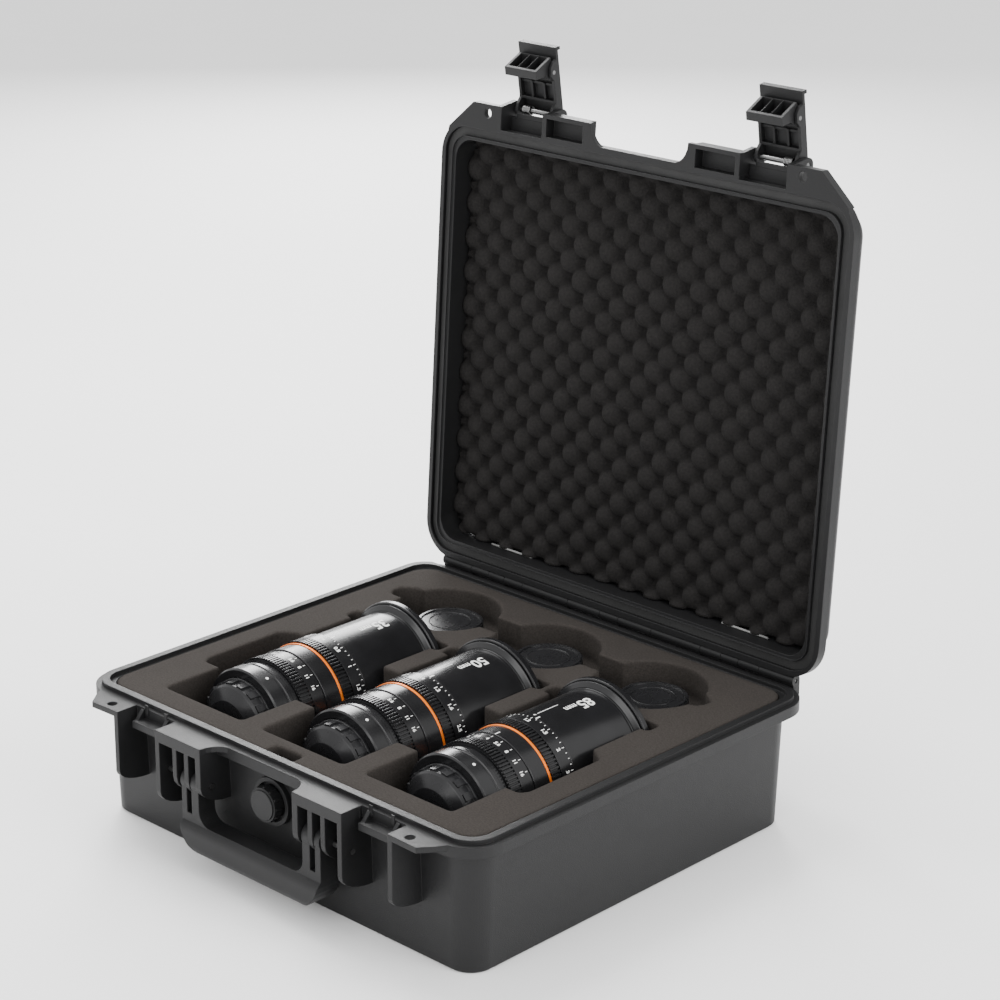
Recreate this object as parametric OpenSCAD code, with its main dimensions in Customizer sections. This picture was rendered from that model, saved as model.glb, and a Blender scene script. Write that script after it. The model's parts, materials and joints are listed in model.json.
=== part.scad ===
// Hard case with three cinema lenses, their rear caps and three spare caps.
// Origin: centre of the case's underside. +X to the right, -Y towards the handle, +Z up.
// Everything is drawn with the lid open, the latches swung out and the handle hanging down.

/* [Case] */
// Width of the base wall at its top
case_w = 362; // [358:1:364]
// Depth of the base wall at its top
case_d = 320; // [316:1:322]
// Height of the base up to the face where the lid meets it
base_h = 94.8; // [94:0.2:96]
// How much each side leans in from the top of the base to its underside
lean = 3.2; // [1:0.2:4]
// Thickness of the moulded walls
wall = 3; // [2.6:0.1:3.4]
// Radius of the base's upright corners
corner_r = 21; // [16:1:24]
// How far the flange stands out from the wall
flange_out = 9.5; // [9:0.5:11]
// Depth of the flange's skirt
skirt_h = 8; // [7:1:12]

/* [Lid] */
// Height of the lid above the face where it meets the base
lid_h = 32.8; // [32:0.2:36]
// Radius round the lid's top edges
lid_edge_r = 13; // [8:1:14]
// Angle that the lid stands open
lid_open = 93.5; // [0:0.5:100]
// Place of the hinge axis behind the centre
hinge_y = 172.5; // [172:0.1:173.5]
// Height of the hinge axis
hinge_z = 99; // [98.8:0.1:100]
// Radius of the hinge knuckles
knuckle_r = 4.2; // [3.8:0.1:4.2]
// Radius of the hinge pin
hinge_pin_r = 1.5; // [1.2:0.1:2]

/* [Latches and handle] */
// Place of a latch's middle beside the centre
latch_x = 111.5; // [111:0.1:112]
// Width of a latch lever
latch_w = 36.4; // [35:0.2:37]
// Angle that a latch lever stands away from its shut place
latch_open = 78; // [0:1:95]
// Radius of the latch pins
latch_pin_r = 2; // [1.6:0.1:2.2]
// Half width of the handle across its arms
handle_half = 68; // [66:0.5:68.5]
// Height of the handle's pivot
handle_z = 65; // [64:0.5:66]
// Length of the handle from its pivot to its underside
handle_len = 51; // [46:1:56]
// Radius of the handle's pins
handle_pin_r = 2; // [1.6:0.1:2.4]

/* [Lenses] */
// Distance between neighbouring lenses
lens_pitch = 99.5; // [98:0.5:101]
// Height of the lens axes
lens_z = 70; // [69:0.5:72]
// Radius of the seat that the turning rings run on
seat_r = 34.8; // [33:0.1:35]
// Radius over the teeth of the focus ring
focus_r = 41.6; // [39:0.1:41.8]
// Radius over the teeth of the iris ring
iris_r = 40; // [38:0.1:40.4]
// Radius of the front rim
rim_r = 46; // [45:0.5:47]
// Teeth round a geared ring
gear_teeth = 96; // [48:4:120]
// Radius of a spare cap
spare_r = 25; // [22:1:28]

/* [Foam] */
// Height of the foam's top face
foam_top = 96; // [95.4:0.1:96.2]
// Radius of the round pockets for the spare caps
pocket_r = 41; // [36:0.5:42]
// Height of the floor of those pockets
pocket_floor = 72.4; // [60:0.4:80]

/* [Hidden] */
$fn = 64;
LENSES = ["35", "50", "85"];
SIDES = ["left", "right"];

// Colours
plastic = [0.16, 0.16, 0.17];
metal_black = [0.08, 0.08, 0.085];
steel = [0.62, 0.62, 0.64];
foam_brown = [0.36, 0.33, 0.31];
foam_black = [0.09, 0.085, 0.085];
orange = [0.85, 0.36, 0.08];
glass = [0.35, 0.45, 0.5];

// Gap between parts that turn on each other
running = 0.06;
// Gap between parts that only pass each other
clear = 0.4;
// Height where the lid starts when it is shut
part_z = base_h + clear;
lid_top = part_z + lid_h;
flange_w = case_w + 2 * flange_out;
flange_d = case_d + 2 * flange_out;
flange_r = corner_r + 6;
plate_t = 4;

// Raised lip round the base's mouth, which the lid's groove drops over
lip_out_w = 372;
lip_out_d = 328;
lip_t = 5.5;
lip_h = 3;
lip_r = 20;

// Front features, as places beside the centre and in front of it
block_in = 45;
block_out = 91;
bay_in = 91.4;
bay_out = 131.6;
bay_y = -167;
front_y = -185;
ear_y = -184;
base_ear = [[157.5, -185], [165.5, -175], [173, -162]];
lid_ear = [[160, -184], [184, -163], [187, -150]];
ear_hole = [145, -177.5];
ear_hole_r = 3.5;

handle_y = -175.3;
latch_y = -182;
latch_z = 112;
claw_y = -184.3;
claw_z = 80.5;
claw_pin_r = 1.5;

valve_z = 65;
wall_front_y = -159.2;

// Edges of the hinge knuckles, outward from the centre; base and lid take turns
knuckle_edges = [0, 9, 41, 87, 106, 122, 140.5, 171];

// Lens lengths along its axis, from the rear cap's nose to the front rim
cap_nose_y = -113.5;
mount_y = -98;
iris_y = -76;
iris_len = 20.2;
mid_y = -55.5;
trim_y = -42.2;
trim_len = 2;
focus_y = -39.9;
focus_len = 20.6;
front_y0 = -19;
front_y1 = 53;
tube_r = 31;

function lens_x(i) = (i - 1) * lens_pitch;
// Points along part of an ellipse, for rounded outlines
function curve(cx, cy, rx, ry, a0, a1, n) =
    [for (i = [0 : n]) let (a = a0 + (a1 - a0) * i / n) [cx + rx * cos(a), cy + ry * sin(a)]];

// ---- placing ----

// Puts a lid piece, drawn shut, where it stands with the lid open
module at_lid() {
    translate([0, hinge_y, hinge_z])
        rotate([-lid_open, 0, 0])
            translate([0, -hinge_y, -hinge_z])
                children();
}

// Puts a latch piece, drawn shut on the right, on one side of the open lid
module at_latch(side) {
    at_lid()
        mirror([side == "left" ? 1 : 0, 0, 0])
            translate([0, latch_y, latch_z])
                rotate([-latch_open, 0, 0])
                    translate([0, -latch_y, -latch_z])
                        children();
}

// Puts a shape drawn round +Z on the axis of lens i, with its height along +Y
module at_lens(i) {
    translate([lens_x(i), 0, lens_z])
        rotate([-90, 0, 0])
            children();
}

module both_sides() {
    children();
    mirror([1, 0, 0]) children();
}

// Extrudes a side outline, drawn in depth and height, from x0 to x1
module across(x0, x1) {
    translate([x0, 0, 0])
        rotate([90, 0, 90])
            linear_extrude(x1 - x0)
                children();
}

// Rod along X
module rod(x0, x1, y, z, r) {
    translate([x0, y, z])
        rotate([0, 90, 0])
            cylinder(r = r, h = x1 - x0);
}

module box(lo, hi) {
    translate(lo) cube(hi - lo);
}

// Rectangle with round corners, centred
module plan(w, d, r) {
    square([w - 2 * r, d], center = true);
    square([w, d - 2 * r], center = true);
    for (sx = [-1, 1], sy = [-1, 1])
        translate([sx * (w / 2 - r), sy * (d / 2 - r)])
            circle(r);
}

module slab(w, d, r, z0, z1) {
    translate([0, 0, z0])
        linear_extrude(z1 - z0)
            plan(w, d, r);
}

// ---- case ----

// Flange outline with its handle blocks and padlock ears, less the latch bays
module flange_plan(ear) {
    difference() {
        union() {
            plan(flange_w, flange_d, flange_r);
            both_sides() {
                translate([block_in, front_y])
                    square([block_out - block_in, -front_y - 150]);
                polygon(concat(
                    curve(block_in - 14, -184, 14, 15, 0, 90, 6),
                    [[block_in - 14, -160], [block_in + 1, -160], [block_in + 1, -184]]));
                polygon(concat([[bay_out, -140], [bay_out, ear_y]], ear, [[170, -140]]));
            }
        }
        both_sides()
            translate([bay_in, -200])
                square([bay_out - bay_in, 200 + bay_y]);
    }
}

// Tapering tub, grown or shrunk by the wall thickness
module tub(inset, z0, z1) {
    low = lean * (base_h - z0) / base_h;
    hull() {
        slab(case_w - 2 * (inset + low) - 3, case_d - 2 * (inset + low) - 3, corner_r - 5 - inset, z0, z0 + 0.1);
        slab(case_w - 2 * (inset + low), case_d - 2 * (inset + low), corner_r - 4 - inset, z0 + 1.5, z0 + 1.6);
        slab(case_w - 2 * inset, case_d - 2 * inset, corner_r - inset, z1 - 0.1, z1);
    }
}

// Side outline of a rib under the front flange: straight front, round foot, back to the wall
module rib_side(front, top, straight, foot) {
    polygon(concat(
        [[-157.6, top], [front, top]],
        [for (a = [0 : 15 : 90]) [-157.6 + (front + 157.6) * cos(a), straight - (straight - foot) * sin(a)]]));
}

module base_shell() {
    color(plastic)
    difference() {
        union() {
            difference() {
                union() {
                    tub(0, 0, base_h);
                    translate([0, 0, base_h - plate_t])
                        linear_extrude(plate_t)
                            flange_plan(base_ear);
                    base_skirt();
                    slab(lip_out_w, lip_out_d, lip_r, base_h - 1, base_h + lip_h);
                }
                tub(wall, wall, base_h + 0.1);
                slab(lip_out_w - 2 * lip_t, lip_out_d - 2 * lip_t, lip_r - lip_t, base_h, base_h + lip_h + 1);
            }
            base_front_ribs();
            base_knuckles();
            valve_boss();
        }
        both_sides() {
            rod(block_in - 1, block_out + 1, handle_y, handle_z, handle_pin_r);
            translate([ear_hole[0], ear_hole[1], base_h - plate_t - 1])
                cylinder(r = ear_hole_r, h = plate_t + 2);
        }
        // Lower lip beside the hinge, for the lid's swing
        box([-200, 161.6, 96.5], [200, 166, 99]);
        rod(-200, 200, hinge_y, hinge_z, hinge_pin_r);
        translate([0, wall_front_y + 8, valve_z])
            rotate([90, 0, 0])
                cylinder(r = 6, h = 20);
    }
}

module base_skirt() {
    difference() {
        slab(flange_w, flange_d, flange_r, base_h - skirt_h, base_h);
        slab(flange_w - 6, flange_d - 6, flange_r - 3, base_h - skirt_h - 1, base_h - plate_t);
        slab(case_w - 4, case_d - 4, corner_r - 2, base_h - skirt_h - 1, base_h + 1);
        both_sides()
            box([bay_in, -200, base_h - skirt_h - 1], [bay_out, bay_y, base_h + 1]);
    }
}

// Handle blocks, padlock ear gussets and latch catches
module base_front_ribs() {
    both_sides() {
        box([block_in, front_y, base_h - skirt_h], [block_out, front_y + 3, base_h]);
        across(block_in, block_in + 5) rib_side(front_y, base_h - 1, 66, 52);
        across(58.4, 62.6) rib_side(front_y + 1, base_h - 1, 66, 50);
        across(70.5, 74.5) rib_side(front_y + 1, base_h - 1, 66, 50);
        across(block_out - 4, block_out) rib_side(front_y, base_h - 1, 50, 37);
        across(bay_out, bay_out + 4) rib_side(ear_y, base_h - 1, 50, 40);
        box([97, -176, 82.6], [126, -157.4, 87.6]);
        for (x = [97, 123])
            across(x, x + 3)
                polygon([[-157.4, 87], [-174, 87], [-168, base_h - 1], [-157.4, base_h - 1]]);
        for (x = [98.5, 118.5]) {
            box([x, -168, base_h - 4], [x + 3, -165.4, base_h]);
            box([x, -168, base_h - 4], [x + 3, -167.4, 98]);
        }
    }
}

// Knuckles of one leaf: every second stretch, starting at the given one
module knuckles(first, r) {
    both_sides()
        for (i = [first : 2 : 6])
            rod(knuckle_edges[i] + (i == 0 ? 0 : clear / 2), knuckle_edges[i + 1] - clear / 2,
                hinge_y, hinge_z, r);
}

module base_knuckles() {
    knuckles(0, knuckle_r);
    both_sides()
        for (i = [0 : 2 : 6])
            box([knuckle_edges[i] + (i == 0 ? 0 : clear / 2), flange_d / 2 + clear, base_h - skirt_h],
                [knuckle_edges[i + 1] - clear / 2, hinge_y + knuckle_r, hinge_z]);
    both_sides()
        box([0, flange_d / 2 - 4, base_h - skirt_h], [knuckle_edges[7], hinge_y, base_h - 1]);
}

// Raised ring round the valve
module valve_boss() {
    translate([0, -157, valve_z])
        rotate([90, 0, 0])
            difference() {
                cylinder(r = 17, h = 6.5);
                translate([0, 0, 2.2]) cylinder(r = 13.8, h = 10);
            }
}

module lid_shell() {
    color(plastic)
    at_lid()
    difference() {
        union() {
            lid_crown();
            lid_flange();
            lid_front();
            knuckles(1, knuckle_r);
            both_sides()
                for (i = [1 : 2 : 6])
                    box([knuckle_edges[i] + clear / 2, 160, part_z + 1],
                        [knuckle_edges[i + 1] - clear / 2, hinge_y, hinge_z + knuckle_r]);
        }
        slab(case_w - 8, case_d - 10, corner_r - 5, part_z - 1, lid_top - wall - 0.4);
        // Room over the foam, so the inner ridge stops short of it
        slab(lip_out_w - 13, lip_out_d - 13, lip_r - 6, part_z - 1, part_z + 1.4);
        lid_groove(part_z - 1, part_z + 6.2, 0.6);
        // Notches that let the base's knuckles in
        both_sides()
            for (i = [0 : 2 : 6])
                rod(knuckle_edges[i] - clear / 2, knuckle_edges[i + 1] + clear / 2,
                    hinge_y, hinge_z, knuckle_r + clear);
        both_sides() {
            rod(block_out - 6, bay_out + 6, latch_y, latch_z, latch_pin_r);
            translate([ear_hole[0], ear_hole[1], part_z - 1])
                cylinder(r = ear_hole_r, h = 10);
            box([block_in + 7, front_y + 3, part_z - 1], [block_out - 4, -169, part_z + 8.5]);
        }
        rod(-200, 200, hinge_y, hinge_z, hinge_pin_r + running);
    }
}

module lid_crown() {
    hull() {
        slab(case_w + 3, case_d + 3, corner_r + 1, part_z, part_z + 0.1);
        for (a = [0 : 15 : 90])
            slab(case_w - 1 - 2 * lid_edge_r * (1 - cos(a)), case_d - 1 - 2 * lid_edge_r * (1 - cos(a)),
                corner_r - lid_edge_r * (1 - cos(a)),
                lid_top - 0.1 - lid_edge_r * (1 - sin(a)), lid_top - lid_edge_r * (1 - sin(a)));
    }
}

module lid_flange() {
    difference() {
        union() {
            translate([0, 0, part_z])
                linear_extrude(plate_t)
                    flange_plan(lid_ear);
            slab(flange_w, flange_d, flange_r, part_z, part_z + skirt_h);
        }
        slab(flange_w - 6, flange_d - 6, flange_r - 3, part_z + 7.5, part_z + skirt_h + 1);
        both_sides()
            box([bay_in, -200, part_z - 1], [bay_out, bay_y, part_z + skirt_h + 1]);
    }
    slab(case_w - 1, case_d - 1, corner_r, part_z, part_z + skirt_h + 2);
}

// Boxes and lugs that carry the latch pins
module lid_front() {
    both_sides() {
        difference() {
            box([block_in + 4, front_y, part_z], [block_out, -156, part_z + 11]);
            box([block_in + 7, front_y + 3, part_z - 1], [block_out - 4, -169, part_z + 8.5]);
        }
        lid_lug(block_out - 4, block_out);
        lid_lug(bay_out, bay_out + 4.5);
        difference() {
            translate([0, 0, part_z + 3])
                linear_extrude(4)
                    polygon([[bay_out, -156], [bay_out, ear_y], lid_ear[0], lid_ear[1], [176, -156]]);
            translate([0, 0, part_z + 2])
                linear_extrude(8)
                    polygon([[bay_out + 7, -170], [bay_out + 7, -181], [157.5, -181], [170, -170]]);
        }
    }
}

// Lug that holds one end of a latch pin
module lid_lug(x0, x1) {
    across(x0, x1)
        polygon(concat([[-156, part_z], [ear_y, part_z]],
            curve(latch_y, latch_z, 5.4, 5.4, 180, 90, 6),
            [[-156, latch_z + 5.4]]));
}

// Channel that takes the base's lip and holds the gasket
module lid_groove(z0, z1, gap) {
    difference() {
        slab(lip_out_w + 2 * gap, lip_out_d + 2 * gap, lip_r + gap, z0, z1);
        slab(lip_out_w - 2 * lip_t - 2 * gap, lip_out_d - 2 * lip_t - 2 * gap, lip_r - lip_t - gap, z0 - 1, z1 + 1);
    }
}

module lid_gasket() {
    color(foam_black)
    at_lid()
        difference() {
            slab(lip_out_w + 1.2, lip_out_d + 1.2, lip_r + 0.6, base_h + lip_h + 0.3, part_z + 6.2);
            slab(lip_out_w - 2 * lip_t - 1.2, lip_out_d - 2 * lip_t - 1.2, lip_r - lip_t - 0.6,
                base_h + lip_h - 1, part_z + 7);
        }
}

module hinge_pin() {
    color(steel)
        rod(-170, 170, hinge_y, hinge_z, hinge_pin_r);
}

// ---- foam ----

module base_foam() {
    color(foam_brown)
    difference() {
        tub(wall + 0.5, wall, foam_top);
        for (i = [0 : 2])
            translate([lens_x(i), 0, 0])
                lens_nest();
        finger_trough(-86, -5, 27, -158, 154);
        finger_trough(97, 119, pocket_floor, -158, 146);
        box([-13, -158, 50], [13, -145, foam_top + 1]);
    }
}

// Nest for one lens and the pocket behind it
module lens_nest() {
    box([-39.5, -135, 31], [39.5, -80, foam_top + 1]);
    box([-40.6, -12, 29], [40.6, 50, foam_top + 1]);
    box([-47.2, 43, lens_z - rim_r - 0.6], [47.2, 56, foam_top + 1]);
    translate([-3, 103, pocket_floor])
        cylinder(r = pocket_r, h = foam_top);
}

// Trough for the fingers, right across the foam, with chamfered ends
module finger_trough(y0, y1, floor_z, x0, x1) {
    translate([0, 0, floor_z])
        linear_extrude(foam_top)
            polygon([[x0, y0 + 6], [x0 + 4, y0], [x1 - 4, y0], [x1, y0 + 6],
                [x1, y1 - 8], [x1 - 12, y1], [x0 + 12, y1], [x0, y1 - 8]]);
}

module lid_foam() {
    color(foam_black)
    at_lid()
        slab(case_w - 10, case_d - 12, corner_r - 6, lid_top - wall - 6.6, lid_top - wall - 0.6);
}

// ---- pressure valve ----

// Puts a shape drawn round +Z on the valve's axis, with its height towards the front
module at_valve(y) {
    translate([0, y, valve_z])
        rotate([90, 0, 0])
            children();
}

module valve_body() {
    color(plastic)
    union() {
        at_valve(-150) cylinder(r = 5.9, h = 12);
        at_valve(-159.5) cylinder(r = 11, h = 2.6);
        at_valve(-160) cylinder(r = 4, h = 9.5);
    }
}

module valve_nut() {
    color(plastic)
    difference() {
        at_valve(-151) cylinder(r = 9.5, h = 4.6, $fn = 6);
        at_valve(-150) cylinder(r = 5.9, h = 8);
    }
}

module valve_knob() {
    color(plastic)
    difference() {
        union() {
            at_valve(-162.5) cylinder(r = 12, h = 8);
            at_valve(-170.5) cylinder(r = 10.5, h = 1);
            for (a = [0 : 30 : 330])
                at_valve(-163.5)
                    rotate([0, 0, a])
                        translate([11.8, 0, 0])
                            cylinder(r = 0.9, h = 6, $fn = 24);
        }
        at_valve(-162) cylinder(r = 4 + running, h = 7.9);
    }
}

// ---- handle ----

module carry_handle() {
    foot = handle_z - handle_len;
    color(plastic)
    difference() {
        intersection() {
            handle_front(foot);
            handle_side(foot);
        }
        both_sides() {
            rod(40, 80, handle_y, handle_z, handle_pin_r + running);
            box([58, -200, foot + 29], [63, -150, handle_z + 20]);
        }
    }
}

// Front outline: two arms and a grip with round lower corners
module handle_front(foot) {
    r = 24;
    translate([0, handle_y + 12, 0])
        rotate([90, 0, 0])
            linear_extrude(24)
                difference() {
                    polygon(concat(
                        curve(handle_half - r, foot + r, r, r, -90, 0, 8),
                        [[handle_half, handle_z + 9], [-handle_half, handle_z + 9]],
                        curve(-handle_half + r, foot + r, r, r, 180, 270, 8)));
                    polygon(concat(
                        curve(41, foot + 33, 10, 10, -90, 0, 6),
                        [[51, handle_z + 20], [-51, handle_z + 20]],
                        curve(-41, foot + 33, 10, 10, 180, 270, 6)));
                }
}

// Side outline: round heads on the pins, thick grip below
module handle_side(foot) {
    across(-90, 90) {
        translate([handle_y, handle_z]) circle(8);
        translate([handle_y - 7, foot + 12]) square([14, handle_z - foot - 12]);
        translate([handle_y, foot + 12]) plan(21, 24, 8);
    }
}

module handle_pin(side) {
    color(steel)
    mirror([side == "left" ? 1 : 0, 0, 0])
        rod(block_in - 0.4, block_out, handle_y, handle_z, handle_pin_r);
}

// ---- latches ----

module latch_lever(side) {
    x0 = latch_x - latch_w / 2;
    x1 = latch_x + latch_w / 2;
    color(plastic)
    at_latch(side)
    difference() {
        union() {
            box([x0, -190.1, 63], [x1, -187.7, 117]);
            box([x0, -192.5, 63], [x1, -189.5, 65.4]);
            for (x = [x0, x1 - 2.4])
                across(x, x + 2.4)
                    latch_cheek();
            // Cross ribs between the cheeks, and stiffeners along the plate
            box([x0, -188, 102], [x1, -183.5, 104]);
            box([x0, -188, 90], [x1, -185.9, 92]);
            for (x = [latch_x - 7, latch_x + 5])
                box([x, -188, 90], [x + 2, -184.9, 104]);
        }
        rod(x0 - 1, x1 + 1, latch_y, latch_z, latch_pin_r + running);
        rod(x0 - 1, x1 + 1, claw_y, claw_z, claw_pin_r);
    }
}

// Side of a lever: eye round the pin, straight back, wider where it holds the claw
module latch_cheek() {
    polygon(concat(
        [[-188, 72], [-184.3, 73], [-181.1, 77], [-180.9, 83], [-183.7, 87], [-183.7, 103], [-179.5, 107]],
        curve(latch_y, latch_z, 5, 5, 0, 90, 6),
        [[-188, 117]]));
}

// Hook that catches under the base's ledge
module latch_claw(side) {
    x0 = latch_x - 15.4;
    x1 = latch_x + 15.4;
    color(plastic)
    at_latch(side)
    difference() {
        across(x0, x1)
            polygon([[-184.9, 70], [-168.5, 76], [-168.5, 82], [-178, 82], [-179.5, 84.6], [-186.1, 84.6],
                [-186.9, 83.6], [-186.9, 77]]);
        // Pockets between the ribs of the hook
        for (x = [x0 + 2.4, x0 + 11.2, x0 + 20])
            box([x, -184.7, 66], [x + 8.4, -170.5, 78.4]);
        rod(x0 - 1, x1 + 1, claw_y, claw_z, claw_pin_r + running);
    }
}

module latch_pin(side) {
    color(steel)
    at_lid()
        mirror([side == "left" ? 1 : 0, 0, 0])
            rod(block_out - 3.6, bay_out + 4.2, latch_y, latch_z, latch_pin_r);
}

module claw_pin(side) {
    color(steel)
    at_latch(side)
        rod(latch_x - latch_w / 2, latch_x + latch_w / 2, claw_y, claw_z, claw_pin_r);
}

// Spring round the lever's pin, as closed turns side by side
module latch_spring(side) {
    wire = 0.6;
    color(steel)
    at_latch(side)
        for (i = [0 : 5])
            translate([latch_x + 6 + i * 2.02 * wire, latch_y, latch_z])
                rotate([0, 90, 0])
                    rotate_extrude()
                        translate([latch_pin_r + 0.3 + wire, 0])
                            circle(wire, $fn = 24);
}

// ---- lenses ----

// Ring of straight teeth, drawn round +Z
module gear_band(r_root, r_tip, z0, h, teeth) {
    translate([0, 0, z0])
        linear_extrude(h) {
            circle(r_root);
            for (i = [0 : teeth - 1])
                rotate(i * 360 / teeth)
                    translate([r_root - 0.3, -PI * r_tip / teeth / 2])
                        square([r_tip - r_root + 0.3, PI * r_tip / teeth]);
        }
}

// Barrel with the rear mount, the seats of the turning rings and the front thread
module lens_body(i) {
    color(metal_black)
    at_lens(i)
        rotate_extrude()
            polygon([
                [32.4, mount_y], [37.4, mount_y], [38.5, mount_y + 1.1], [38.5, -86.6], [37.9, -86],
                [37, -86], [37, -84], [37.8, -83.4], [37.8, -80.6], [37, -80], [37, iris_y - 0.3],
                [seat_r, iris_y - 0.3], [seat_r, mid_y], [39.6, mid_y], [40, mid_y + 0.4],
                [40, trim_y], [seat_r, trim_y], [seat_r, -12], [tube_r, -12], [tube_r, -78],
                [22.2, -82], [22.2, -90], [32.4, -90]]);
}

// Smooth front barrel with its flange, groove and rim
module front_housing(i) {
    color(metal_black)
    at_lens(i)
        rotate_extrude()
            polygon([
                [seat_r, front_y0], [39.2, front_y0], [40, front_y0 + 0.8], [40, 43.6], [43.6, 45.6],
                [44.4, 46.2], [44.4, 46.8], [43.2, 47], [43.2, 47.6], [rim_r - 0.8, 47.8],
                [rim_r, 48.6], [rim_r, front_y1 - 0.8], [rim_r - 0.8, front_y1], [43.6, front_y1],
                [38, 37], [36, 37], [36, 28], [33, 28], [33, -11.8], [seat_r, -11.8]]);
}

// Iris ring: fine teeth at its rear, plain scale band ahead of them
module iris_ring(i) {
    color(metal_black)
    at_lens(i)
    difference() {
        union() {
            gear_band(iris_r - 1.7, iris_r, iris_y, 9, gear_teeth);
            translate([0, 0, iris_y + 9]) cylinder(r = iris_r - 2.2, h = 0.8);
            translate([0, 0, iris_y + 9.8]) cylinder(r = iris_r - 0.8, h = iris_len - 9.8);
        }
        translate([0, 0, iris_y - 1]) cylinder(r = seat_r + running, h = iris_len + 2);
    }
}

// Focus ring: teeth next to the trim ring, plain scale band ahead of them
module focus_ring(i) {
    color(metal_black)
    at_lens(i)
    difference() {
        union() {
            gear_band(focus_r - 1.7, focus_r, focus_y, 8, gear_teeth);
            translate([0, 0, focus_y + 8]) cylinder(r = focus_r - 2.2, h = 0.8);
            translate([0, 0, focus_y + 8.8]) cylinder(r = focus_r - 0.2, h = focus_len - 9.6);
            translate([0, 0, focus_y + focus_len - 0.8]) cylinder(r1 = focus_r - 0.2, r2 = focus_r - 1, h = 0.8);
        }
        translate([0, 0, focus_y - 1]) cylinder(r = seat_r + running, h = focus_len + 2);
    }
}

module trim_ring(i) {
    color(orange)
    at_lens(i)
        rotate_extrude()
            polygon([[seat_r, trim_y], [40.3, trim_y], [40.6, trim_y + 0.3],
                [40.6, trim_y + trim_len - 0.3], [40.3, trim_y + trim_len], [seat_r, trim_y + trim_len]]);
}

module front_glass(i) {
    dome = 70;
    color(glass)
    at_lens(i)
        intersection() {
            translate([0, 0, 28]) cylinder(r = 36, h = 12);
            translate([0, 0, 38 - dome]) sphere(dome, $fn = 128);
        }
}

module rear_glass(i) {
    dome = 40;
    color(glass)
    at_lens(i)
        intersection() {
            translate([0, 0, -91]) cylinder(r = 22.2, h = 8);
            translate([0, 0, -90 + dome]) sphere(dome, $fn = 96);
        }
}

// Cap over the mount: flat nose, tapered shoulder and broad grip ribs
module rear_cap(i) {
    rib_n = 18;
    color(metal_black)
    at_lens(i)
    difference() {
        union() {
            rotate_extrude()
                polygon([[0, cap_nose_y], [20, cap_nose_y], [28.6, cap_nose_y + 4.4], [30, cap_nose_y + 6],
                    [30, -100], [32, -99.4], [32, -90.4], [0, -90.4]]);
            for (k = [0 : rib_n - 1])
                rotate([0, 0, k * 360 / rib_n])
                    translate([28.5, -2.6, cap_nose_y + 6])
                        cube([2.9, 5.2, 8.5]);
        }
        translate([0, 0, cap_nose_y + 3.4]) cylinder(r = 24.5, h = 30);
    }
}

// Round spare cap: flat top with a raised rim
module spare_cap(i) {
    h = 15;
    color(metal_black)
    translate([lens_x(i) - 1, 105, pocket_floor])
        difference() {
            union() {
                cylinder(r = spare_r, h = h - 1);
                cylinder(r = spare_r - 1, h = h);
            }
            translate([0, 0, h - 0.9]) cylinder(r = spare_r - 3.2, h = 2);
            translate([0, 0, -1]) cylinder(r = spare_r - 2.5, h = h - 2.5);
        }
}

// ---- one line for each node ----

base_shell();
lid_shell();
lid_gasket();
hinge_pin();
base_foam();
lid_foam();
valve_body();
valve_nut();
valve_knob();
carry_handle();
for (s = SIDES) {
    handle_pin(s);
    latch_lever(s);
    latch_claw(s);
    latch_pin(s);
    claw_pin(s);
    latch_spring(s);
}
for (i = [0 : 2]) {
    lens_body(i);
    front_housing(i);
    iris_ring(i);
    focus_ring(i);
    trim_ring(i);
    front_glass(i);
    rear_glass(i);
    rear_cap(i);
    spare_cap(i);
}
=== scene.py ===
"""Visual model of an open hard case with three cinema lenses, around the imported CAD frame."""
import json
import math

import bmesh
import bpy
from mathutils import Matrix, Vector


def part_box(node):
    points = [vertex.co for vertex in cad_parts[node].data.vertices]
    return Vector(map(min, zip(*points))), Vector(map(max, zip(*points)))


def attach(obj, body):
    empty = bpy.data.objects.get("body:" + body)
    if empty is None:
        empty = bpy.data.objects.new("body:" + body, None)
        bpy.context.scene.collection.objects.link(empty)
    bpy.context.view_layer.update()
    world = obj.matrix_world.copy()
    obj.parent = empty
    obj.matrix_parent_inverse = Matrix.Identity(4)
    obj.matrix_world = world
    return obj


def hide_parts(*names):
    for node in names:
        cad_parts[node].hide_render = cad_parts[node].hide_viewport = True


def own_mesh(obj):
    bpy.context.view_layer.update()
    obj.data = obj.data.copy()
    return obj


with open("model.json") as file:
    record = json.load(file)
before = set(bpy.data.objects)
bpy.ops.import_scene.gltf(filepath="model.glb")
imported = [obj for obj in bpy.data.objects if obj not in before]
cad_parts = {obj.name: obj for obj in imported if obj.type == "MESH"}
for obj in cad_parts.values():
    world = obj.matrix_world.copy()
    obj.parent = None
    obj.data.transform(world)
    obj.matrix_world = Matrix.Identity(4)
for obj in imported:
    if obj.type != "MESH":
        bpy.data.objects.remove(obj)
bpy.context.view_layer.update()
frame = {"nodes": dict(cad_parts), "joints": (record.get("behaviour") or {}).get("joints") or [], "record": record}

NODES = frame["nodes"]
JOINTS = {j["name"]: j for j in frame["joints"]}
LENSES = ("35", "50", "85")
SIDES = ("left", "right")
DEG = math.pi / 180

# Radii of the lenses' plain parts, in metres
BARREL_RADIUS = 0.040
SHOULDER_RADIUS = 0.0385


def joint_place(name):
    return Vector(JOINTS[name]["pos_m"])


# ---------------------------------------------------------------- materials


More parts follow.
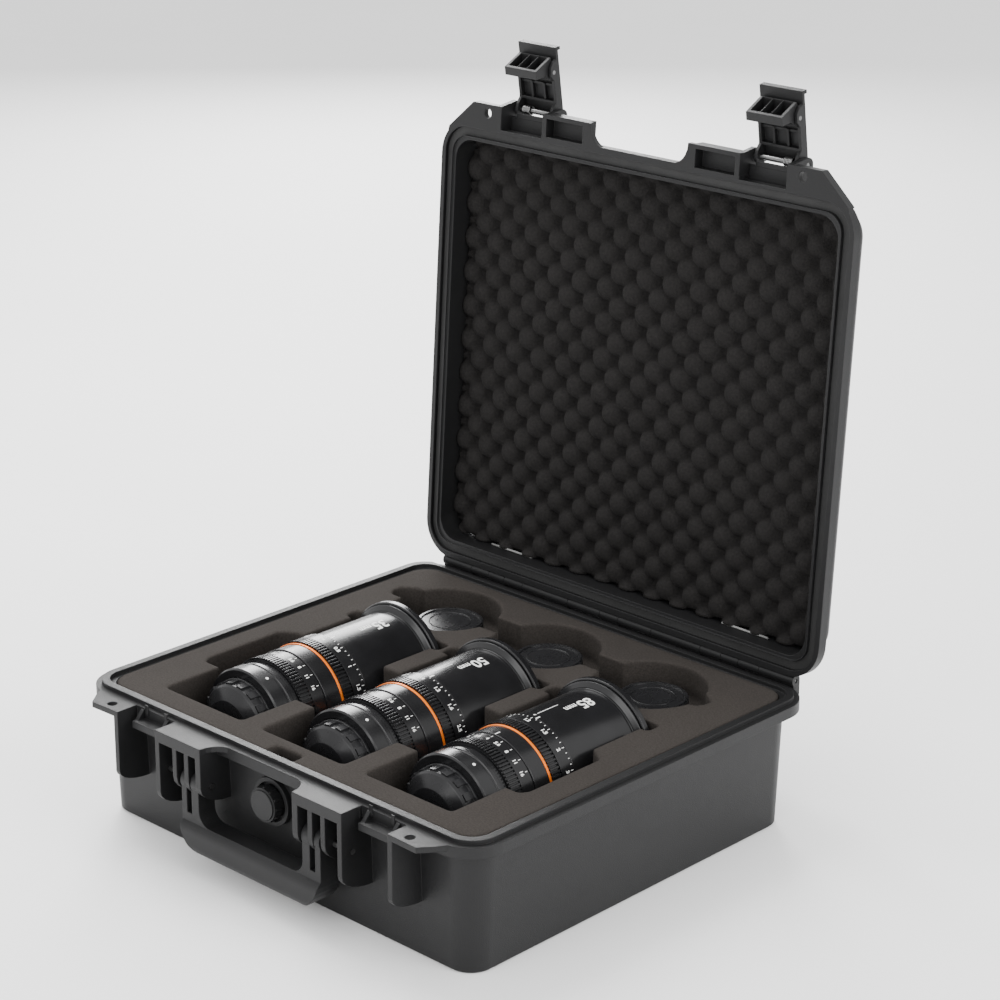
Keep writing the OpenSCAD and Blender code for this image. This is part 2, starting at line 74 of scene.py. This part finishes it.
class Shader:
    """A small helper that builds one node material."""

    def __init__(self, name, **values):
        self.mat = bpy.data.materials.new(name)
        self.mat.use_nodes = True
        self.tree = self.mat.node_tree
        self.bsdf = self.tree.nodes["Principled BSDF"]
        for key, value in values.items():
            self.bsdf.inputs[key.replace("_", " ")].default_value = value
        self.coords = self.tree.nodes.new("ShaderNodeTexCoord").outputs["Object"]

    def node(self, kind, **inputs):
        n = self.tree.nodes.new(kind)
        for key, value in inputs.items():
            socket = n.inputs[key.replace("_", " ")]
            if hasattr(value, "is_output"):
                self.tree.links.new(value, socket)
            else:
                socket.default_value = value
        return n

    def noise(self, scale, detail=3.0, rough=0.6, vector=None):
        n = self.node("ShaderNodeTexNoise", Vector=vector or self.coords, Scale=scale,
                      Detail=detail, Roughness=rough)
        return n.outputs["Fac"]

    def stretched(self, scale):
        n = self.node("ShaderNodeMapping", Vector=self.coords, Scale=scale)
        return n.outputs["Vector"]

    def ramp(self, fac, *stops):
        n = self.tree.nodes.new("ShaderNodeValToRGB")
        self.tree.links.new(fac, n.inputs["Fac"])
        ramp = n.color_ramp
        while len(ramp.elements) < len(stops):
            ramp.elements.new(0.5)
        for element, (place, colour) in zip(ramp.elements, stops):
            element.position = place
            element.color = (*colour, 1.0)
        return n.outputs["Color"]

    def span(self, fac, low, high, at=(0.3, 0.7)):
        n = self.node("ShaderNodeMapRange", Value=fac)
        for key, value in zip(("From Min", "From Max", "To Min", "To Max"), (*at, low, high)):
            n.inputs[key].default_value = value
        return n.outputs["Result"]

    def to(self, socket, value):
        self.tree.links.new(value, self.bsdf.inputs[socket])

    def bump(self, *layers, round_edges=0.0):
        """Layers are (height, distance in metres); edges can be rounded in shading."""
        normal = None
        if round_edges:
            bevel = self.tree.nodes.new("ShaderNodeBevel")
            bevel.samples = 4
            bevel.inputs["Radius"].default_value = round_edges
            normal = bevel.outputs["Normal"]
        for height, distance in layers:
            n = self.node("ShaderNodeBump", Height=height)
            n.inputs["Distance"].default_value = distance
            if normal:
                self.tree.links.new(normal, n.inputs["Normal"])
            normal = n.outputs["Normal"]
        self.to("Normal", normal)
        return self.mat


def moulded_plastic(name, dark, light, rough=(0.4, 0.52), grain=1500.0, edge=0.0009, shine=0.4,
                    depth=0.00009):
    s = Shader(name, IOR=1.49)
    s.bsdf.inputs["Specular IOR Level"].default_value = shine
    s.to("Base Color", s.ramp(s.noise(9.0, 5.0), (0.3, dark), (0.72, light)))
    s.to("Roughness", s.span(s.noise(60.0, 4.0), *rough))
    cells = s.node("ShaderNodeTexVoronoi", Vector=s.coords, Scale=grain)
    return s.bump((cells.outputs["Distance"], depth), (s.noise(grain * 0.3), depth / 2),
                  round_edges=edge)


def foam(name, dark, light, cell=900.0, depth=0.00035, mottle=14.0):
    s = Shader(name, Roughness=0.95, IOR=1.35)
    s.bsdf.inputs["Specular IOR Level"].default_value = 0.15
    cells = s.node("ShaderNodeTexVoronoi", Vector=s.coords, Scale=cell)
    blotch = s.noise(mottle, 6.0, 0.7)
    fine = s.noise(cell * 0.7, 2.0)
    mix = s.node("ShaderNodeMath", Value=blotch)
    mix.operation = "MULTIPLY_ADD"
    s.tree.links.new(fine, mix.inputs[1])
    s.tree.links.new(fine, mix.inputs[2])
    s.to("Base Color", s.ramp(mix.outputs[0], (0.45, dark), (1.0, light)))
    return s.bump((cells.outputs["Distance"], depth), (blotch, 0.0006))


def anodised(name, dark, light, rough=(0.2, 0.26), metallic=0.0):
    s = Shader(name, Metallic=metallic, IOR=1.5)
    s.bsdf.inputs["Specular IOR Level"].default_value = 0.36
    turned = s.stretched((1.0, 240.0, 1.0))
    s.to("Base Color", s.ramp(s.noise(30.0, 4.0), (0.3, dark), (0.7, light)))
    s.to("Roughness", s.span(s.noise(12.0, 3.0, 0.5, turned), *rough))
    return s.bump((s.noise(14.0, 2.0, 0.5, turned), 0.000006), round_edges=0.0005)


def plain_metal(name, colour, rough=(0.25, 0.4)):
    s = Shader(name, Metallic=1.0)
    s.to("Base Color", s.ramp(s.noise(120.0), (0.3, tuple(c * 0.8 for c in colour)), (0.7, colour)))
    s.to("Roughness", s.span(s.noise(300.0), *rough))
    return s.bump((s.noise(900.0), 0.00003))


def coated_glass(name):
    s = Shader(name, Metallic=0.0, Roughness=0.03, IOR=1.7)
    s.bsdf.inputs["Coat Weight"].default_value = 1.0
    s.bsdf.inputs["Coat Tint"].default_value = (0.75, 0.85, 1.0, 1.0)
    s.to("Base Color", s.ramp(s.noise(20.0), (0.3, (0.008, 0.006, 0.014)), (0.7, (0.014, 0.02, 0.03))))
    return s.bump((s.noise(5.0), 0.00001))


def printed_paint(name, colour):
    s = Shader(name, Roughness=0.5)
    s.to("Base Color", s.ramp(s.noise(400.0), (0.2, tuple(c * 0.86 for c in colour)), (0.6, colour)))
    return s.bump((s.noise(2000.0), 0.00002))


M_CASE = moulded_plastic("case_plastic", (0.0084, 0.0084, 0.0088), (0.0102, 0.0102, 0.0106), (0.43, 0.47),
                         shine=0.23)
# The lid's bars are the case's dark plastic; their light grey colour is a painted highlight standing for the
# bright sheen on their edges
M_BAR_PAINTED_HIGHLIGHT = moulded_plastic("bar_plastic_painted_highlight", (0.16, 0.16, 0.158), (0.2, 0.2, 0.198), (0.35, 0.45))
M_CAP = moulded_plastic("cap_plastic", (0.009, 0.009, 0.0098), (0.014, 0.014, 0.015), (0.22, 0.32), 2400.0,
                        0.0006, 0.3, 0.00001)
M_FOAM = foam("base_foam_brown", (0.024, 0.021, 0.0188), (0.037, 0.0326, 0.0297), 1100.0, 0.0002)
M_LIDFOAM = foam("lid_foam_black", (0.0115, 0.0109, 0.0107), (0.0175, 0.0164, 0.016), 900.0, 0.0003, 20.0)
M_SEAL = moulded_plastic("seal_rubber", (0.01, 0.01, 0.01), (0.02, 0.02, 0.02), (0.6, 0.75), 1800.0, 0.0008)
M_STEEL = plain_metal("pin_steel", (0.2, 0.2, 0.2))
M_LENS = anodised("lens_black", (0.006, 0.006, 0.0065), (0.01, 0.01, 0.0108))
M_TRIM = anodised("lens_trim", (0.78, 0.16, 0.012), (0.9, 0.22, 0.02), (0.3, 0.4), 0.55)
M_GLASS = coated_glass("lens_glass")
M_WHITE = printed_paint("marking_white", (0.78, 0.78, 0.76))

SLOT_MATERIALS = {
    "case_plastic": M_CASE, "base_foam": M_FOAM, "lid_foam": M_LIDFOAM, "seal_rubber": M_SEAL,
    "pin_steel": M_STEEL, "lens_black": M_LENS, "lens_trim": M_TRIM, "lens_glass": M_GLASS,
    "cap_plastic": M_CAP,
}
for part in frame["record"]["subparts"]:
    mesh = NODES[part["node"]].data
    mesh.materials.clear()
    mesh.materials.append(SLOT_MATERIALS[part["material_slot"]])


# ---------------------------------------------------------------- mesh helpers


def add_piece(name, verts, faces, body, material, smooth=True):
    mesh = bpy.data.meshes.new(name)
    mesh.from_pydata([tuple(v) for v in verts], [], faces)
    mesh.update()
    return dress(bpy.data.objects.new(name, mesh), body, material, smooth)


def dress(obj, body, material, smooth=True):
    if obj.name not in bpy.context.scene.collection.objects:
        bpy.context.scene.collection.objects.link(obj)
    obj.data.materials.clear()
    obj.data.materials.append(material)
    if smooth:
        obj.data.polygons.foreach_set("use_smooth", [True] * len(obj.data.polygons))
    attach(obj, body)
    return obj


def apply_modifiers(obj):
    graph = bpy.context.evaluated_depsgraph_get()
    baked = bpy.data.meshes.new_from_object(obj.evaluated_get(graph))
    obj.modifiers.clear()
    obj.data = baked


def cut_in_strips(mesh, axis, step):
    """Adds edges every step along an axis, so that the mesh can bend."""
    bm = bmesh.new()
    bm.from_mesh(mesh)
    values = [v.co[axis] for v in bm.verts]
    place = min(values) + step
    while place < max(values):
        at, normal = Vector((0, 0, 0)), Vector((0, 0, 0))
        at[axis], normal[axis] = place, 1.0
        geom = bm.verts[:] + bm.edges[:] + bm.faces[:]
        bmesh.ops.bisect_plane(bm, geom=geom, plane_co=at, plane_no=normal)
        place += step
    bm.to_mesh(mesh)
    bm.free()


def lid_matrix():
    """Takes a point drawn with the lid shut to where it is with the lid open."""
    hinge = joint_place("lid_hinge")
    opened = max(abs(v) for v in JOINTS["lid_hinge"]["range_deg"])
    turn = Matrix.Rotation(-math.radians(opened), 4, "X")
    return Matrix.Translation(hinge) @ turn @ Matrix.Translation(-hinge)


LID = lid_matrix()
LID_BACK = LID.inverted()


def shut_box(node):
    """A lid node's box in the place where it is when the lid is shut."""
    points = [LID_BACK @ v.co for v in NODES[node].data.vertices]
    low = Vector([min(p[i] for p in points) for i in range(3)])
    high = Vector([max(p[i] for p in points) for i in range(3)])
    return low, high


# ---------------------------------------------------------------- foam in the base


def base_foam():
    """The cut foam block: the CAD block with soft, slightly uneven edges."""
    grid, rounding = 0.0017, 0.0012
    mesh = NODES["base_foam"].data.copy()
    obj = bpy.data.objects.new("foam_block", mesh)
    bpy.context.scene.collection.objects.link(obj)
    remesh = obj.modifiers.new("remesh", "REMESH")
    remesh.mode = "VOXEL"
    remesh.voxel_size = grid
    soften = obj.modifiers.new("soften", "SMOOTH")
    soften.factor = 0.5
    soften.iterations = 3
    apply_modifiers(obj)
    dress(obj, "case_base", M_FOAM, smooth=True)
    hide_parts("base_foam")


base_foam()


# ---------------------------------------------------------------- foam in the lid


# Half the distance between two knobs of one row, and from one row to the next
KNOB_PITCH_X, KNOB_PITCH_Y = 0.0123, 0.0131
KNOB_RADIUS = 0.0102
KNOB_HEIGHT = 0.0095
BACKING_THICKNESS = 0.006


def knob_height(x, y):
    """Height of the foam at a place, from 0 between the knobs to 1 on a knob."""
    best = 0.0
    for shift in (0, 1):
        row = 2 * round((y / KNOB_PITCH_Y - shift) / 2) + shift
        column = 2 * round((x / KNOB_PITCH_X - shift) / 2) + shift
        away = math.hypot(x - column * KNOB_PITCH_X, y - row * KNOB_PITCH_Y) / KNOB_RADIUS
        best = max(best, (1 - min(away, 1.0) ** 2.4) ** 0.55)
    return best


def lid_foam():
    """Egg-crate foam: rows of round knobs, every second row shifted by half a pitch."""
    low, high = shut_box("lid_foam")
    back = high.z
    skin = back - BACKING_THICKNESS
    step = 0.0019
    nx = round((high.x - low.x) / step)
    ny = round((high.y - low.y) / step)
    corner = 0.015
    unevenness = 0.0005
    half_x, half_y, mid_y = high.x, (high.y - low.y) / 2, (low.y + high.y) / 2
    verts, index = [], {}
    for i in range(nx + 1):
        for j in range(ny + 1):
            x = low.x + (high.x - low.x) * i / nx
            y = low.y + (high.y - low.y) * j / ny
            # Points past a round corner of the plan are drawn in to it
            past_x = max(abs(x) - (half_x - corner), 0.0)
            past_y = max(abs(y - mid_y) - (half_y - corner), 0.0)
            if past_x > 0 and past_y > 0 and math.hypot(past_x, past_y) > corner:
                k = corner / math.hypot(past_x, past_y)
                x = math.copysign(half_x - corner + past_x * k, x)
                y = mid_y + math.copysign(half_y - corner + past_y * k, y - mid_y)
            round_top = knob_height(x, y)
            sag = unevenness * math.sin(x * 61.0 + y * 23.0) * math.sin(y * 47.0 - x * 11.0)
            index[i, j] = len(verts)
            verts.append(LID @ Vector((x, y, skin - KNOB_HEIGHT * round_top + sag)))
    rim = []
    ring = [(i, 0) for i in range(nx)] + [(nx, j) for j in range(ny)]
    ring += [(i, ny) for i in range(nx, 0, -1)] + [(0, j) for j in range(ny, 0, -1)]
    for key in ring:
        p = LID_BACK @ verts[index[key]]
        rim.append(len(verts))
        verts.append(LID @ Vector((p.x, p.y, back)))
    faces = []
    for i in range(nx):
        for j in range(ny):
            faces.append((index[i, j], index[i, j + 1], index[i + 1, j + 1], index[i + 1, j]))
    count = len(ring)
    for k in range(count):
        a, b = index[ring[k]], index[ring[(k + 1) % count]]
        faces.append((a, b, rim[(k + 1) % count], rim[k]))
    faces.append(tuple(rim))
    obj = add_piece("foam_knobs", verts, faces, "case_lid", M_LIDFOAM)
    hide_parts("lid_foam")
    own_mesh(obj)


lid_foam()


# ---------------------------------------------------------------- markings on the lenses


PAINT_THICKNESS = 0.00014
BEND_STEP = 0.0009


def wrapped(name, mesh, lens, y, angle, radius, body, along_axis):
    """Bends a flat mesh round a lens. Its local X runs towards the mount or round the ring."""
    axis = joint_place("lens_lift_" + lens)
    cut_in_strips(mesh, 1 if along_axis else 0, BEND_STEP)
    for v in mesh.vertices:
        u, w, h = v.co
        if along_axis:
            place, turn = y - u, angle + w / radius
        else:
            place, turn = y + w, angle + u / radius
        r = radius + h
        v.co = (axis.x + r * math.sin(turn), place, axis.z + r * math.cos(turn))
    obj = bpy.data.objects.new(name, mesh)
    return dress(obj, body, M_WHITE, smooth=False)


def letters(text, size, weight):
    """A flat mesh of a numeral, with its strokes thickened by weight."""
    curve = bpy.data.curves.new("numeral", "FONT")
    curve.body = text
    curve.size = size
    curve.extrude = PAINT_THICKNESS / 2
    curve.offset = weight
    curve.align_x = "CENTER"
    curve.align_y = "CENTER"
    curve.resolution_u = 4
    obj = bpy.data.objects.new("numeral", curve)
    bpy.context.scene.collection.objects.link(obj)
    bpy.context.view_layer.update()
    mesh = bpy.data.meshes.new_from_object(obj.evaluated_get(bpy.context.evaluated_depsgraph_get()))
    bpy.data.objects.remove(obj)
    return mesh


def bar(width, height):
    """A flat painted stroke."""
    bm = bmesh.new()
    bmesh.ops.create_cube(bm, size=1.0, matrix=Matrix.Diagonal((width, height, PAINT_THICKNESS, 1.0)))
    mesh = bpy.data.meshes.new("tick")
    bm.to_mesh(mesh)
    bm.free()
    return mesh


def joined(name, meshes_at):
    """One mesh out of several flat ones, each moved to a place."""
    bm = bmesh.new()
    for mesh, (u, w) in meshes_at:
        mesh.transform(Matrix.Translation((u, w, 0.0)))
        bm.from_mesh(mesh)
    out = bpy.data.meshes.new(name)
    bm.to_mesh(out)
    bm.free()
    return out


FOCUS_SCALE = {
    "35": ("0.3", "0.35", "0.4", "0.5", "0.6", "0.8", "1", "1.5", "2", "4", "8"),
    "50": ("0.4", "0.5", "0.6", "0.7", "0.9", "1.2", "1.6", "2.5", "4", "8"),
    "85": ("0.7", "0.8", "0.9", "1", "1.2", "1.5", "2", "3", "5", "10"),
}
IRIS_SCALE = ("2", "2.8", "4", "5.6", "8", "11", "16")
TICK_WIDTH = 0.00045
LONG_TICK, SHORT_TICK, IRIS_TICK = 0.0022, 0.0012, 0.0020


def barrel_marks(lens, front_y):
    """Focal length, index line and focus mark on the barrel, ahead of the focus ring."""
    body = "lens_" + lens
    numeral = letters(lens, 0.0128, 0.00024)
    unit = letters("mm", 0.0072, 0.00013)
    text = joined("focal_" + lens, [(numeral, (0.0, 0.0)), (unit, (0.0126, -0.0015))])
    wrapped("focal_length_" + lens, text, lens, front_y + 0.0445, 10 * DEG, BARREL_RADIUS, body, True)
    line_and_dot = [(bar(0.020, 0.0006), (0.0, 0.0)), (bar(0.0016, 0.0016), (0.0125, 0.0))]
    line = joined("index_" + lens, line_and_dot)
    wrapped("index_line_" + lens, line, lens, front_y + 0.018, -4 * DEG, BARREL_RADIUS, body, True)
    mark = bar(0.0042, 0.0011)
    wrapped("index_mark_" + lens, mark, lens, front_y + 0.0032, 3 * DEG, BARREL_RADIUS, body, True)


def focus_marks(lens, front_y, radius):
    """Focus distances round the ring, with three short ticks between two long ones."""
    body = "focus_" + lens
    names = FOCUS_SCALE[lens]
    step, start = 22 * DEG, -86 * DEG
    number_y, tick_y = front_y - 0.0066, front_y - 0.0012
    for k, text in enumerate(names):
        name = f"focus_number_{lens}_{k}"
        mesh = letters(text, 0.0042, 0.00014)
        wrapped(name, mesh, lens, number_y, start + k * step, radius, body, False)
    ticks = []
    for k in range(4 * (len(names) - 1) + 1):
        tall = LONG_TICK if k % 4 == 0 else SHORT_TICK
        ticks.append((bar(TICK_WIDTH, tall), (k * step / 4 * radius, -tall / 2)))
    wrapped("focus_ticks_" + lens, joined("ticks", ticks), lens, tick_y, start, radius, body, False)


def iris_marks(lens, front_y, radius):
    """Iris stops round the ring, and their index on the barrel."""
    body = "iris_" + lens
    step, start = 13 * DEG, -26 * DEG
    number_y, tick_y, index_y = front_y - 0.0062, front_y - 0.001, front_y + 0.0034
    for k, text in enumerate(IRIS_SCALE):
        name = f"iris_number_{lens}_{k}"
        mesh = letters(text, 0.0039, 0.00012)
        wrapped(name, mesh, lens, number_y, start + k * step, radius, body, False)
    ticks = []
    for k in range(len(IRIS_SCALE)):
        ticks.append((bar(TICK_WIDTH, IRIS_TICK), (k * step * radius, -IRIS_TICK / 2)))
    wrapped("iris_ticks_" + lens, joined("ticks", ticks), lens, tick_y, start, radius, body, False)
    index = bar(0.0044, 0.0009)
    wrapped("iris_index_" + lens, index, lens, index_y, 0.0, BARREL_RADIUS, "lens_" + lens, True)


def mount_dot(lens):
    """White alignment dot on the mount's shoulder."""
    radius, thickness = 0.0011, 0.0003
    from_mount, angle = 0.0074, 24 * DEG
    dot = bmesh.new()
    bmesh.ops.create_circle(dot, cap_ends=True, segments=20, radius=radius)
    grown = bmesh.ops.extrude_face_region(dot, geom=dot.faces[:])
    top = [g for g in grown["geom"] if isinstance(g, bmesh.types.BMVert)]
    bmesh.ops.translate(dot, verts=top, vec=(0, 0, thickness))
    mesh = bpy.data.meshes.new("dot")
    dot.to_mesh(mesh)
    dot.free()
    mount_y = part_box("lens_body_" + lens)[0].y
    body = "lens_" + lens
    wrapped("mount_dot_" + lens, mesh, lens, mount_y + from_mount, angle, SHOULDER_RADIUS, body, True)


def lens_markings(lens):
    """The scales sit on bands, which are a little smaller than their rings' teeth."""
    focus_step, iris_step = 0.0002, 0.0008
    focus_low, focus_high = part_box("focus_ring_" + lens)
    iris_low, iris_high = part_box("iris_ring_" + lens)
    barrel_marks(lens, focus_high.y)
    focus_marks(lens, focus_high.y, (focus_high.x - focus_low.x) / 2 - focus_step)
    iris_marks(lens, iris_high.y, (iris_high.x - iris_low.x) / 2 - iris_step)
    mount_dot(lens)


for lens_name in LENSES:
    lens_markings(lens_name)


# ---------------------------------------------------------------- small mouldings on the case


def capsule_bar(name, length, width, height, place, matrix, body, material):
    """A low moulded bar with round ends, lying along X."""
    bm = bmesh.new()
    bmesh.ops.create_cube(bm, size=1.0, matrix=Matrix.Diagonal((length, width, height, 1.0)))
    bmesh.ops.bevel(bm, geom=bm.edges[:], offset=min(width, height) * 0.4, segments=3, affect="EDGES")
    mesh = bpy.data.meshes.new(name)
    bm.to_mesh(mesh)
    bm.free()
    mesh.transform(matrix @ Matrix.Translation(place))
    return dress(bpy.data.objects.new(name, mesh), body, material)


for side in SIDES:
    sign = -1 if side == "left" else 1
    middle = (sign * 0.114, 0.154, 0.1108)
    # Light grey colour on the bars is a painted highlight, not the plastic's own colour
    capsule_bar("lid_bar_" + side, 0.043, 0.0018, 0.0018, middle, LID, "case_lid", M_BAR_PAINTED_HIGHLIGHT)


def box_piece(name, boxes, matrix, body):
    """Plain moulded plates, given as corner pairs."""
    bm = bmesh.new()
    for low, high in boxes:
        low, high = Vector(low), Vector(high)
        size = high - low
        place = Matrix.Translation((low + high) / 2) @ Matrix.Diagonal((*size, 1.0))
        bmesh.ops.create_cube(bm, size=1.0, matrix=matrix @ place)
    mesh = bpy.data.meshes.new(name)
    bm.to_mesh(mesh)
    bm.free()
    return dress(bpy.data.objects.new(name, mesh), body, M_CASE, smooth=False)


# Web that closes the slot under the lid's knuckles
web = ((-0.141, 0.1716, 0.0875), (0.141, 0.1733, 0.0945))
box_piece("hinge_web", [web], Matrix.Identity(4), "case_base")

# Shelves that close the lid's latch bays from above, with a tongue up to the pin
SHELF_BOTTOM, SHELF_TOP = 0.106, 0.108
for side in SIDES:
    sign = -1 if side == "left" else 1
    wide = sorted((sign * 0.0912, sign * 0.1318))
    tongue = sorted((sign * 0.0966, sign * 0.1264))
    box_piece("latch_shelf_" + side, [
        ((wide[0], -0.1765, SHELF_BOTTOM), (wide[1], -0.1588, SHELF_TOP)),
        ((tongue[0], -0.1795, SHELF_BOTTOM), (tongue[1], -0.1762, SHELF_TOP)),
    ], LID, "case_lid")


def cap_face(lens):
    """A low raised ring on a spare cap's face."""
    ring_radius, face_depth = 0.0155, 0.0009
    low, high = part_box("spare_cap_" + lens)
    cx, cy = (low.x + high.x) / 2, (low.y + high.y) / 2
    profile = ((-0.0005, -0.0003), (-0.0003, 0.0004), (0.0003, 0.0004), (0.0005, -0.0003))
    count = 72
    verts, faces = [], []
    for k in range(count):
        a = 2 * math.pi * k / count
        for dr, dz in profile:
            r = ring_radius + dr
            verts.append((cx + r * math.cos(a), cy + r * math.sin(a), high.z - face_depth + dz))
    size = len(profile)
    for k in range(count):
        n = (k + 1) % count
        for m in range(size):
            m2 = (m + 1) % size
            faces.append((k * size + m, n * size + m, n * size + m2, k * size + m2))
    add_piece("cap_ring_" + lens, verts, faces, "spare_" + lens, M_CAP)


for lens_name in LENSES:
    cap_face(lens_name)


# ---------------------------------------------------------------- stage, light and camera


FLOOR_HALF = 6.0


def stage():
    bm = bmesh.new()
    bmesh.ops.create_grid(bm, x_segments=1, y_segments=1, size=FLOOR_HALF)
    mesh = bpy.data.meshes.new("floor")
    bm.to_mesh(mesh)
    bm.free()
    floor = bpy.data.objects.new("floor", mesh)
    bpy.context.scene.collection.objects.link(floor)
    s = Shader("floor_pale", Roughness=0.7)
    s.to("Base Color", s.ramp(s.noise(3.0), (0.3, (0.93, 0.93, 0.93)), (0.7, (0.95, 0.95, 0.95))))
    s.bump((s.noise(200.0), 0.00002))
    mesh.materials.append(s.mat)


def area_light(name, place, target, size, power, colour=(1.0, 1.0, 1.0)):
    light = bpy.data.lights.new(name, "AREA")
    light.shape = "RECTANGLE"
    light.size, light.size_y = size
    light.energy = power
    light.color = colour
    obj = bpy.data.objects.new(name, light)
    obj.location = place
    aim = Vector(target) - Vector(place)
    obj.rotation_euler = aim.to_track_quat("-Z", "Y").to_euler()
    bpy.context.scene.collection.objects.link(obj)


stage()
area_light("top_softbox", (-0.9, 0.25, 1.5), (0, 0, 0.1), (0.9, 1.2), 34)
area_light("right_softbox", (1.9, 0.2, 0.9), (0, 0, 0.15), (1.2, 1.4), 34)
area_light("back_softbox", (-1.7, 1.6, 1.05), (0, 0, 0.1), (0.7, 1.1), 40)
area_light("front_fill", (0.2, -2.2, 1.2), (0, 0, 0.15), (1.6, 1.2), 24)

world = bpy.data.worlds.new("studio")
world.use_nodes = True
world.node_tree.nodes["Background"].inputs["Color"].default_value = (1.0, 1.0, 1.0, 1.0)
world.node_tree.nodes["Background"].inputs["Strength"].default_value = 1.5
bpy.context.scene.world = world

# The camera's place, its angles in degrees, and its lens in millimetres
CAMERA_PLACE = (1.2514, -1.2568, 0.8676)
CAMERA_AZIMUTH, CAMERA_ELEVATION, CAMERA_ROLL = 43.695, 19.669, 0.275
FOCAL_LENGTH, SENSOR_WIDTH = 100.35, 36.0

camera_data = bpy.data.cameras.new("camera")
camera_data.sensor_width = SENSOR_WIDTH
camera_data.lens = FOCAL_LENGTH
camera_data.clip_end = 50.0
camera = bpy.data.objects.new("camera", camera_data)
azimuth, elevation, roll = (math.radians(v) for v in (CAMERA_AZIMUTH, CAMERA_ELEVATION, CAMERA_ROLL))
back = Vector((math.sin(azimuth) * math.cos(elevation), -math.cos(azimuth) * math.cos(elevation),
               math.sin(elevation)))
flat_right = Vector((math.cos(azimuth), math.sin(azimuth), 0.0))
flat_up = back.cross(flat_right)
right = flat_right * math.cos(roll) + flat_up * math.sin(roll)
up = back.cross(right)
camera.matrix_world = Matrix((
    (right.x, up.x, back.x, CAMERA_PLACE[0]),
    (right.y, up.y, back.y, CAMERA_PLACE[1]),
    (right.z, up.z, back.z, CAMERA_PLACE[2]),
    (0.0, 0.0, 0.0, 1.0),
))
bpy.context.scene.collection.objects.link(camera)
bpy.context.scene.camera = camera
